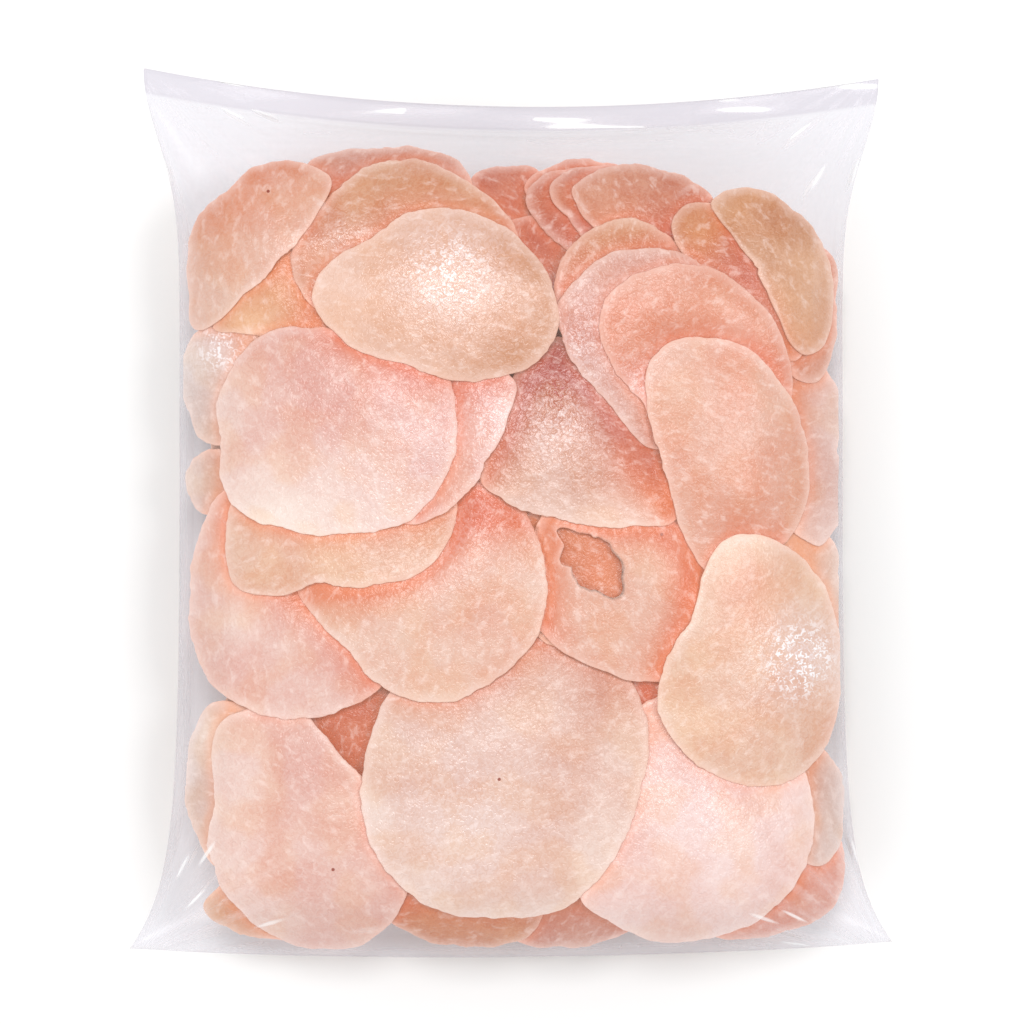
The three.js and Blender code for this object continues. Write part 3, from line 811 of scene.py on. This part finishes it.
def sago_body_group():
    """Fused sago pearls: a mottled body with peachy patches, whitish flecks, dark specks and a paler
    rim, its colour painted deeper where the papad lies under others, as painted shade. At its spots of
    sheen it has a painted highlight, a pale sheen and white sparks, over a real coat. Gives the height
    and the roughness of its grain, and a painted glow, light that it gives off though it is no lamp."""
    tree, given, made = new_group(
        "sago_body", {"Vector": "Place", "Float": "Mottle Rim Cover Wet Lit", "Color": "Pale Deep"},
        {"Color": "Color Glow", "Float": "Roughness Coat Height"})
    place, wet = given["Place"], given["Wet"]
    grain = clouds(tree, place, 950, 0.0, Distortion=1.0)
    drawn = add_node(tree, "Mapping", {"Vector": place, "Scale": (0.75, 1.25, 1.0)}).outputs[0]
    cloud = clouds(tree, drawn, 360, 3.0, Roughness=0.6, Distortion=0.25)
    patches = clouds(tree, place, 75, 1.0)
    share = plus(tree, given["Mottle"], times(tree, mask(tree, grain, 0.3, 0.7), 0.3))
    body = mixed(tree, share, given["Deep"], given["Pale"], clamp_factor=False)
    body = deepened(tree, mask(tree, patches, 0.42, 0.62), body, PEACH)
    # Painted shade: the colour deepens where the papad lies under others and deep below the film.
    body = deepened(tree, given["Cover"], body, PAINTED_SHADE_TONE)
    body = mixed(tree, times(tree, mask(tree, cloud, 0.5, 0.78), 0.3), body, FLECK)
    body = mixed(tree, times(tree, given["Rim"], 0.3), body, FLECK)
    # Painted highlight: a pale sheen and white sparks at the spots of sheen.
    painted_sheen = plus(tree, times(tree, mask(tree, grain, 0.25, 0.75), 0.3), 0.15)
    body = mixed(tree, times(tree, painted_sheen, wet), body, PAINTED_SHEEN_TONE)
    sparks = times(tree, mask(tree, grain, 0.52, 0.62), mask(tree, cloud, 0.42, 0.54),
                   mask(tree, wet, 0.35, 1.0), 0.9)
    body = mixed(tree, sparks, body, WHITE)
    body = mixed(tree, lone_dots(tree, place, 45, (0.80, 0.82), (0.026, 0.014)), body, SPECK)
    # The painted glow; the coat at the spots of sheen is real gloss.
    return finish_group(tree, made, {
        "Color": body, "Glow": mixed(tree, given["Lit"], BLACK, PAINTED_GLOW_TONE), "Coat": times(tree, wet, 0.7),
        "Roughness": plus(tree, times(tree, cloud, 0.2), 0.2), "Height": grain})


def blank_material(name):
    """A material with an empty node tree and the input of its output node."""
    material = bpy.data.materials.new(name)
    material.use_nodes = True
    tree = material.node_tree
    tree.nodes.clear()
    return material, tree, tree.nodes.new("ShaderNodeOutputMaterial").inputs["Surface"]


def papad_material(tint, body_group):
    """Sago of one tint with a broken gloss over its grain. Light that it sends on to the others
    takes only its middle colour."""
    pale, deep, _ = TINTS[tint]
    material, tree, seen_surface = blank_material("sago_" + tint)
    material.cycles.emission_sampling = "NONE"
    place = add_node(tree, "Attribute", attribute_name="own_place").outputs["Vector"]
    values = {label: own_value(tree, label.lower()) for label in ("Mottle", "Rim", "Cover", "Wet", "Lit")}
    body = add_node(tree, "Group", {"Place": place, **values, "Pale": linear(*pale), "Deep": linear(*deep)},
                    node_tree=body_group).outputs
    normal = add_node(tree, "Bump", {"Strength": 1.0, "Distance": 0.00013,
                                     "Height": body["Height"]}).outputs["Normal"]
    # The emission is the painted glow: light that the papad gives off though it is no lamp.
    sago = add_node(tree, "BsdfPrincipled", {
        "Base Color": body["Color"], "Roughness": body["Roughness"], "Normal": normal,
        "Specular IOR Level": 0.35, "Coat Weight": body["Coat"], "Coat Roughness": 0.14,
        "Coat Normal": normal, "Emission Color": body["Glow"], "Emission Strength": 1.0}).outputs[0]
    plain = plain_shader(tree, "Diffuse", linear(*((np.array(pale) + deep) / 2)))
    seen = add_node(tree, "LightPath").outputs["Is Camera Ray"]
    tree.links.new(layered(tree, seen, plain, sago), seen_surface)
    return material


# Across and along from the middle of the bag to its corners, in metres, for the film's lines.
CORNER = (0.104, 0.124)


def corner_streaks(tree, place):
    """Lines that run out from the nearest corner: noise over the angle, which changes little with
    the distance, from -0.5 to 0.5, and short bright dashes along them, where painted white glints go.
    Both only near a corner. The lines of a corner at the left or below are moved on, so that no corner
    mirrors its neighbour."""
    x, y, _ = add_node(tree, "SeparateXYZ", {0: place}).outputs
    across, along = (minus(tree, reach, worked(tree, "ABSOLUTE", part))
                     for part, reach in zip((x, y), CORNER))
    away = add_node(tree, "CombineXYZ", {"X": across, "Y": along}).outputs[0]
    distance = add_node(tree, "VectorMath", {0: away}, operation="LENGTH").outputs["Value"]
    quarter = plus(tree, mask(tree, x, 0.001, -0.001), mask(tree, y, 0.002, -0.002))
    turn = plus(tree, times(tree, worked(tree, "ARCTAN2", across, along), 12.0), times(tree, quarter, 7.0))
    rays = add_node(tree, "CombineXYZ", {"X": turn, "Y": times(tree, distance, 22.0)}).outputs[0]
    lines = clouds(tree, rays, 1.0, 1.0)
    short = add_node(tree, "VectorMath", {0: rays, 1: (0.55, 1.1, 1.0)}, operation="MULTIPLY").outputs[0]
    dashes = lone_dots(tree, short, 1.0, (0.55, 0.60), (0.13, 0.04))
    shows = times(tree, mask(tree, distance, 0.085, 0.015), mask(tree, distance, 0.0, 0.006))
    return times(tree, minus(tree, lines, 0.5), shows), times(tree, dashes, shows)


def stretched_clouds(tree, place, scale, stretch):
    """Noise from -0.5 to 0.5 drawn out along the axis whose share of the scale is small."""
    drawn = add_node(tree, "Mapping", {"Vector": place, "Scale": stretch}).outputs[0]
    return minus(tree, clouds(tree, drawn, scale, 1.0), 0.5)


def film_folds_and_painted_glints_group():
    """Folds of the loose film: lines out from its four corners, long ripples below the top seal
    and down its sides. Gives their height from -0.5 to 0.5, which only makes the film milkier along
    them, partly as whitened film and partly as painted glints, and where white glints are painted,
    which is in the dashes at the corners and in patches of the seal."""
    tree, given, made = new_group("film_folds_and_painted_glints", {"Vector": "Place", "Float": "Seal Below Side"},
                                  {"Float": "Height White"})
    place = given["Place"]
    level = stretched_clouds(tree, place, 260, (0.09, 1.0, 1.0))
    upright = stretched_clouds(tree, place, 420, (1.0, 0.05, 1.0))
    lines, dashes = corner_streaks(tree, place)
    band, walls = times(tree, level, given["Below"]), times(tree, upright, given["Side"], 0.3)
    broken = clouds(tree, place, 70, 0.0)
    patch = times(tree, mask(tree, level, 0.15, 0.23), mask(tree, broken, 0.52, 0.6), given["Seal"])
    return finish_group(tree, made, {"Height": plus(tree, lines, plus(tree, band, walls)),
                                     "White": plus(tree, dashes, patch)})


def film_material():
    """Clear film: it lets light through with a faint lilac tone, shines softly, and is milky where
    it turns away and along its folds. The weld at the seal has less of both. The milky lines along the
    folds are partly whitened film and partly painted glints, and painted white glints lie at the corner
    dashes and on the seal."""
    material, tree, seen_surface = blank_material("clear_film")
    place = add_node(tree, "TexCoord").outputs["Object"]
    seal, below, side = (own_value(tree, label) for label in ("seal", "below", "side"))
    folds = add_node(tree, "Group", {"Place": place, "Seal": seal, "Below": below, "Side": side},
                     node_tree=film_folds_and_painted_glints_group()).outputs
    weld = mask(tree, below, 0.85, 0.97)
    ripple = clouds(tree, place, 45, 3.0, Distortion=0.6)
    normal = add_node(tree, "Bump", {"Strength": 0.15, "Distance": 0.001, "Height": ripple}).outputs["Normal"]
    clear = plain_shader(tree, "Transparent", mixed(tree, seal, FILM_TONE, SEAL_TONE))
    shine = plain_shader(tree, "Glossy", WHITE, Roughness=0.28, Normal=normal)
    haze = layered(tree, 0.5, *(plain_shader(tree, kind, FILM_HAZE) for kind in ("Diffuse", "Translucent")))
    slant = add_node(tree, "LayerWeight", {"Blend": 0.25}).outputs["Facing"]
    fresnel = add_node(tree, "Fresnel", {"IOR": 1.30, "Normal": normal}).outputs[0]
    gloss = times(tree, worked(tree, "MINIMUM", fresnel, 0.16), minus(tree, 1.0, slant),
                  minus(tree, 1.0, times(tree, weld, 0.7)))
    # Milky lines along the folds: partly whitened film and partly painted glints.
    fold_haze_and_painted_glints = plus(tree, times(tree, folds["Height"], 0.7), 0.04)
    milky = plus(tree, times(tree, slant, 0.35, minus(tree, 1.0, weld)), fold_haze_and_painted_glints)
    milky = add_node(tree, "Clamp", {0: milky}).outputs[0]
    film = layered(tree, milky, layered(tree, gloss, clear, shine), haze)
    # Painted glints: white at the corner dashes and in patches of the seal.
    film = layered(tree, times(tree, folds["White"], 0.7), film, plain_shader(tree, "Diffuse", WHITE))
    tree.links.new(film, seen_surface)
    return material


# ---- the film

def film_surface(skin):
    """Front and back film as one closed surface over the outline's u and v. The front is slack
    between the papads and rises to lie on the uppermost ones. Its grid is closer together towards
    the sides and the seals."""
    s = np.linspace(-1, 1, FILM_COLUMNS + 1)
    t = np.linspace(0, 1, FILM_ROWS + 1)
    along = t - SEAL_CROWDING * np.sin(2 * math.pi * t)
    across = (1 - SIDE_CROWDING) * s + SIDE_CROWDING * np.sin(s * math.pi / 2)
    v, u = np.meshgrid(along, across, indexing="ij")
    edge = (np.abs(s)[None, :] == 1) | (t[:, None] == 0) | (t[:, None] == 1)
    x, y = bag_xy(u, v)
    share = fullness(u, v)
    loose = np.minimum(1, share * SLACKENING)
    front_waves, back_waves = (height * layered_noise(x, y, size, seed)
                               for height, size, seed in (FRONT_WAVES, BACK_WAVES))
    folds = share * corner_creases(x, y, u, v) + loose * front_waves
    lift = sampled(draped(np.maximum(0, skin + FILM_LIFT + FILM_SLACK - FRONT - FILM_CLEARANCE)), x, y)
    hung = front_height(u, v) + loose * (lift - FILM_SLACK)
    front = np.where(edge, seam_height(u, v), hung + folds)
    back = np.where(edge, seam_height(u, v), np.maximum(0, back_height(u, v) + share * back_waves))
    from_seal = (1 - v) * BAG_HEIGHT - SEAL_BAND
    return x, y, front, back, edge, {
        "seal": np.clip(0.5 - from_seal / SEAL_SOFTNESS, 0, 1),
        "below": np.exp(-np.maximum(0, from_seal) / SEAL_RIPPLES), "side": np.abs(u) ** 5}


def cell_corners(index):
    """The points at the four corners of each cell of a grid."""
    corners = [index[:-1, :-1], index[:-1, 1:], index[1:, 1:], index[1:, :-1]]
    return np.stack(corners, -1).reshape(-1, 4)


def film_piece(skin):
    """The bag: the two faces share the points of their border, so that the film is closed. It is
    so clear that light reaches the papads as if it weren't there."""
    x, y, front, back, edge, values = film_surface(skin)
    vertices = np.concatenate([np.stack([x, y, z], -1).reshape(-1, 3) for z in (front, back)])
    index = np.arange(x.size).reshape(x.shape)
    behind = np.where(edge, index, index + x.size)
    corners = np.concatenate([cell_corners(index), cell_corners(behind)[:, [0, 3, 2, 1]]])
    used, place = np.unique(corners, return_inverse=True)
    values = {label: np.tile(amounts.ravel(), 2)[used] for label, amounts in values.items()}
    piece = new_piece("film_bag", vertices[used], place.reshape(-1, 4).tolist(), values, film_material())
    piece.visible_shadow = piece.visible_diffuse = piece.visible_glossy = False
    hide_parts("filled_bag")


# ---- the papads

def laid_papads(ceiling):
    """Lays the papads of the front in their order. Gives what each needs to be made, the cells
    that they cover and the height of the uppermost ones."""
    covered, skin, laid = np.zeros(XX.shape, bool), XX * 0, []
    for number, (name, traits) in enumerate(PAPADS.items()):
        papad = {**PLAIN, **traits, "name": "papad_" + name}
        papad["shade"], papad["contact"] = (smoothed(covered.astype(float), reach)
                                            for reach in (SHADE_REACH, CONTACT_REACH))
        centre = np.array(papad["hole"][0]) if papad["hole"] else np.mean(papad["rim"], 0)
        rest = resting_shape(SOFT_FRONT, centre, papad["rim"], papad["sink"], papad["dome"],
                             papad["slope"], number)
        inside, top = lay_under(ceiling, rest, centre, papad["rim"], number)
        skin[inside] = np.maximum(skin, top)[inside]
        covered = covered | inside
        laid.append({**papad, "centre": centre, "inside": inside, "top": top})
    return laid, covered, skin


def backing(laid, number):
    """How closely each place of a laid papad is backed by those below it, from 0 to 1. Its colour is
    painted paler where something lies right under it, as painted light coming back through it."""
    open_share = XX * 0 + 1
    underside = laid[number]["top"] - THICKNESS
    for papad in laid[number + 1:]:
        closeness = np.exp(-np.maximum(0, underside - papad["top"]) / BACKING_REACH)
        covers = average(papad["inside"].astype(float), 1)
        open_share = open_share * (1 - BACKING_SHARE * covers * closeness)
    return 1 - open_share


def shown_papads(laid, materials):
    """A piece for each papad of the front."""
    for number, papad in enumerate(laid):
        look = {**papad, "backing": backing(laid, number)}
        shape = papad_surface(papad["top"], look, papad["centre"], papad["rim"], number,
                              FINE_GRID if number < FINE_PAPADS else SHOWN_GRID,
                              papad["hole"][1] if papad["hole"] else None)
        papad_piece(papad["name"], shape, papad["tint"], materials)


# The hidden papads: the tints that they take in turn, the radii that are tried for them, those that
# lie in rows on the back film, those above them, how deep one of these may cut into the others, and
# the shares of the bag's width that count as covered and as room.
HIDDEN_TINTS = ("rose", "salmon", "cream", "peach")
# The hidden papads' look: a paler tone and a faint painted glow all over them.
HIDDEN_LOOK = {**PLAIN, "tone": 0.5, "glow": 0.1}
HIDDEN_RADII = (35, 32, 29, 26, 23)
LEAST_RADII = (18, 16)
LEAST_FLATNESS = 0.84
BACK_PAPADS = 16
BACK_ROW = 4
BACK_START = (-57, -88)
BACK_STEP = (38, 50)
BACK_SPREAD = 9
INNER_PAPADS = 34
INNER_LOW = (-62, -96)
INNER_HIGH = (62, 72)
DEEPEST_CUT = 1.0
COVERED_SIDES = 0.92
INNER_SIDES = 0.9


def oval(centre, across, along, turn, count=10):
    """Places on an oval: the ends of its turned radii."""
    angle = np.linspace(0, 2 * math.pi, count, endpoint=False)
    x, y = turned(across * np.cos(angle), along * np.sin(angle), turn)
    return np.stack([centre[0] + x, centre[1] + y], -1)


def hidden_rim(chance, covered, tries):
    """The first oval at one of these places that stays behind the shown papads, made smaller
    until it fits, or else the least one."""
    turn, flat = chance.uniform(0, 3), chance.uniform(LEAST_FLATNESS, 1)
    open_x, open_y = XX[~covered][::4], YY[~covered][::4]
    for size in HIDDEN_RADII:
        for centre in tries:
            along, across = turned(open_x - centre[0], open_y - centre[1], -turn)
            if not ((along / (size + 1)) ** 2 + (across / (size * flat + 1)) ** 2 < 1).any():
                return centre, oval(centre, size, size * flat, turn)
    return tries[0], oval(tries[0], *LEAST_RADII, turn)


def hidden_papads(ceiling, covered, materials):
    """Papads in rows against the back film, and more in the room left between them and the front,
    each at one of the widest of some random places. One that would cut deep into the bed below it
    is left out."""
    chance = np.random.RandomState(5)
    surfaces = {tint: [] for tint in HIDDEN_TINTS}
    floor = -BACK
    soft_back = smoothed(-BACK, 14.0)
    for number in range(BACK_PAPADS):
        seed = 100 + number
        place = np.array(BACK_START) + np.array(BACK_STEP) * (number % BACK_ROW, number // BACK_ROW)
        near = place + chance.uniform(-BACK_SPREAD, BACK_SPREAD, (5, 2))
        centre, rim = hidden_rim(chance, covered, near)
        sink = 0.3 + 0.4 * (number % 3)
        rest = resting_shape(soft_back, centre, rim, sink, 1.5, (0, 0), seed)
        _, bottom = lay_under(floor, rest, centre, rim, seed)
        shape = papad_surface(THICKNESS - bottom, HIDDEN_LOOK, centre, rim, seed, HIDDEN_GRID)
        surfaces[HIDDEN_TINTS[number % 4]].append(shape)
    bed = -floor
    for number in range(INNER_PAPADS):
        seed = 200 + number
        room = np.where(np.abs(UU) < INNER_SIDES, ceiling - bed, 0)
        tries = chance.uniform(INNER_LOW, INNER_HIGH, (24, 2))
        spans = sampled(smoothed(room, 20.0), tries[:, 0], tries[:, 1])
        centre, rim = hidden_rim(chance, covered, tries[np.argsort(-spans)][:4])
        level = smoothed(ceiling * 0.7 + bed * 0.3, 18.0)
        slope = chance.uniform(-0.08, 0.08, 2)
        rest = resting_shape(level, centre, rim, 0.5, chance.uniform(-3, 4), slope, seed)
        trial = ceiling.copy()
        inside, top = lay_under(trial, rest, centre, rim, seed)
        if (bed + THICKNESS - top)[inside].max() > DEEPEST_CUT:
            continue
        ceiling[:] = trial
        shape = papad_surface(top, HIDDEN_LOOK, centre, rim, seed, HIDDEN_GRID)
        surfaces[HIDDEN_TINTS[number % 4]].append(shape)
    for tint, group in surfaces.items():
        papad_piece("inner_papads_" + tint, joined(group), tint, materials)


# ---- stage

FLOOR_REACH = 4.0
WORLD_LIGHT = 0.68
# Place, size and power of each soft light.
LAMPS = {
    "key": ((-0.05, 0.36, 1.20), 0.35, 5.0),
    "side": ((0.55, 0.10, 1.0), 0.3, 2.6),
    "low": ((-0.75, -0.45, 0.8), 0.6, 1.8),
}


def stage():
    """A white floor, three soft lights and the camera, which looks straight down at the bag."""
    mesh = bpy.data.meshes.new("floor")
    corners = [(x * FLOOR_REACH, y * FLOOR_REACH, 0) for x, y in ((-1, -1), (1, -1), (1, 1), (-1, 1))]
    mesh.from_pydata(corners, [], [(0, 1, 2, 3)])
    material, tree, seen_surface = blank_material("white_floor")
    grain = add_node(tree, "TexNoise", {"Scale": 8.0}).outputs["Fac"]
    tone = mixed(tree, grain, (0.9, 0.9, 0.9, 1), (0.92, 0.92, 0.92, 1))
    tree.links.new(plain_shader(tree, "Diffuse", tone), seen_surface)
    mesh.materials.append(material)
    floor = in_scene("floor", mesh)

    world = bpy.data.worlds.new("studio")
    world.use_nodes = True
    world.node_tree.nodes["Background"].inputs["Color"].default_value = WHITE
    world.node_tree.nodes["Background"].inputs["Strength"].default_value = WORLD_LIGHT
    bpy.context.scene.world = world

    for name, (place, size, power) in LAMPS.items():
        lamp = bpy.data.lights.new(name, "AREA")
        lamp.size = size
        lamp.energy = power
        light = in_scene(name, lamp)
        light.location = place
        aim = -np.array(place)
        light.rotation_euler = (math.atan2(math.hypot(aim[0], aim[1]), -aim[2]), 0,
                                math.atan2(aim[1], aim[0]) - math.pi / 2)

    lens = bpy.data.cameras.new("camera")
    lens.lens = LENS
    lens.sensor_width = SENSOR
    camera = in_scene("camera", lens)
    height = MID_HEIGHT + VIEW_WIDTH * LENS / SENSOR
    camera.location = (VIEW_SHIFT[0] * MM, VIEW_SHIFT[1] * MM, height * MM)
    bpy.context.scene.camera = camera
    bpy.context.scene.view_settings.view_transform = "Standard"


stage()
body = sago_body_group()
finishes = {tint: papad_material(tint, body) for tint in TINTS}
room_above = FRONT.copy()
laid, shown_cells, shown_skin = laid_papads(room_above)
shown_papads(laid, finishes)
hidden_papads(room_above, shown_cells & (np.abs(UU) < COVERED_SIDES), finishes)
film_piece(shown_skin)
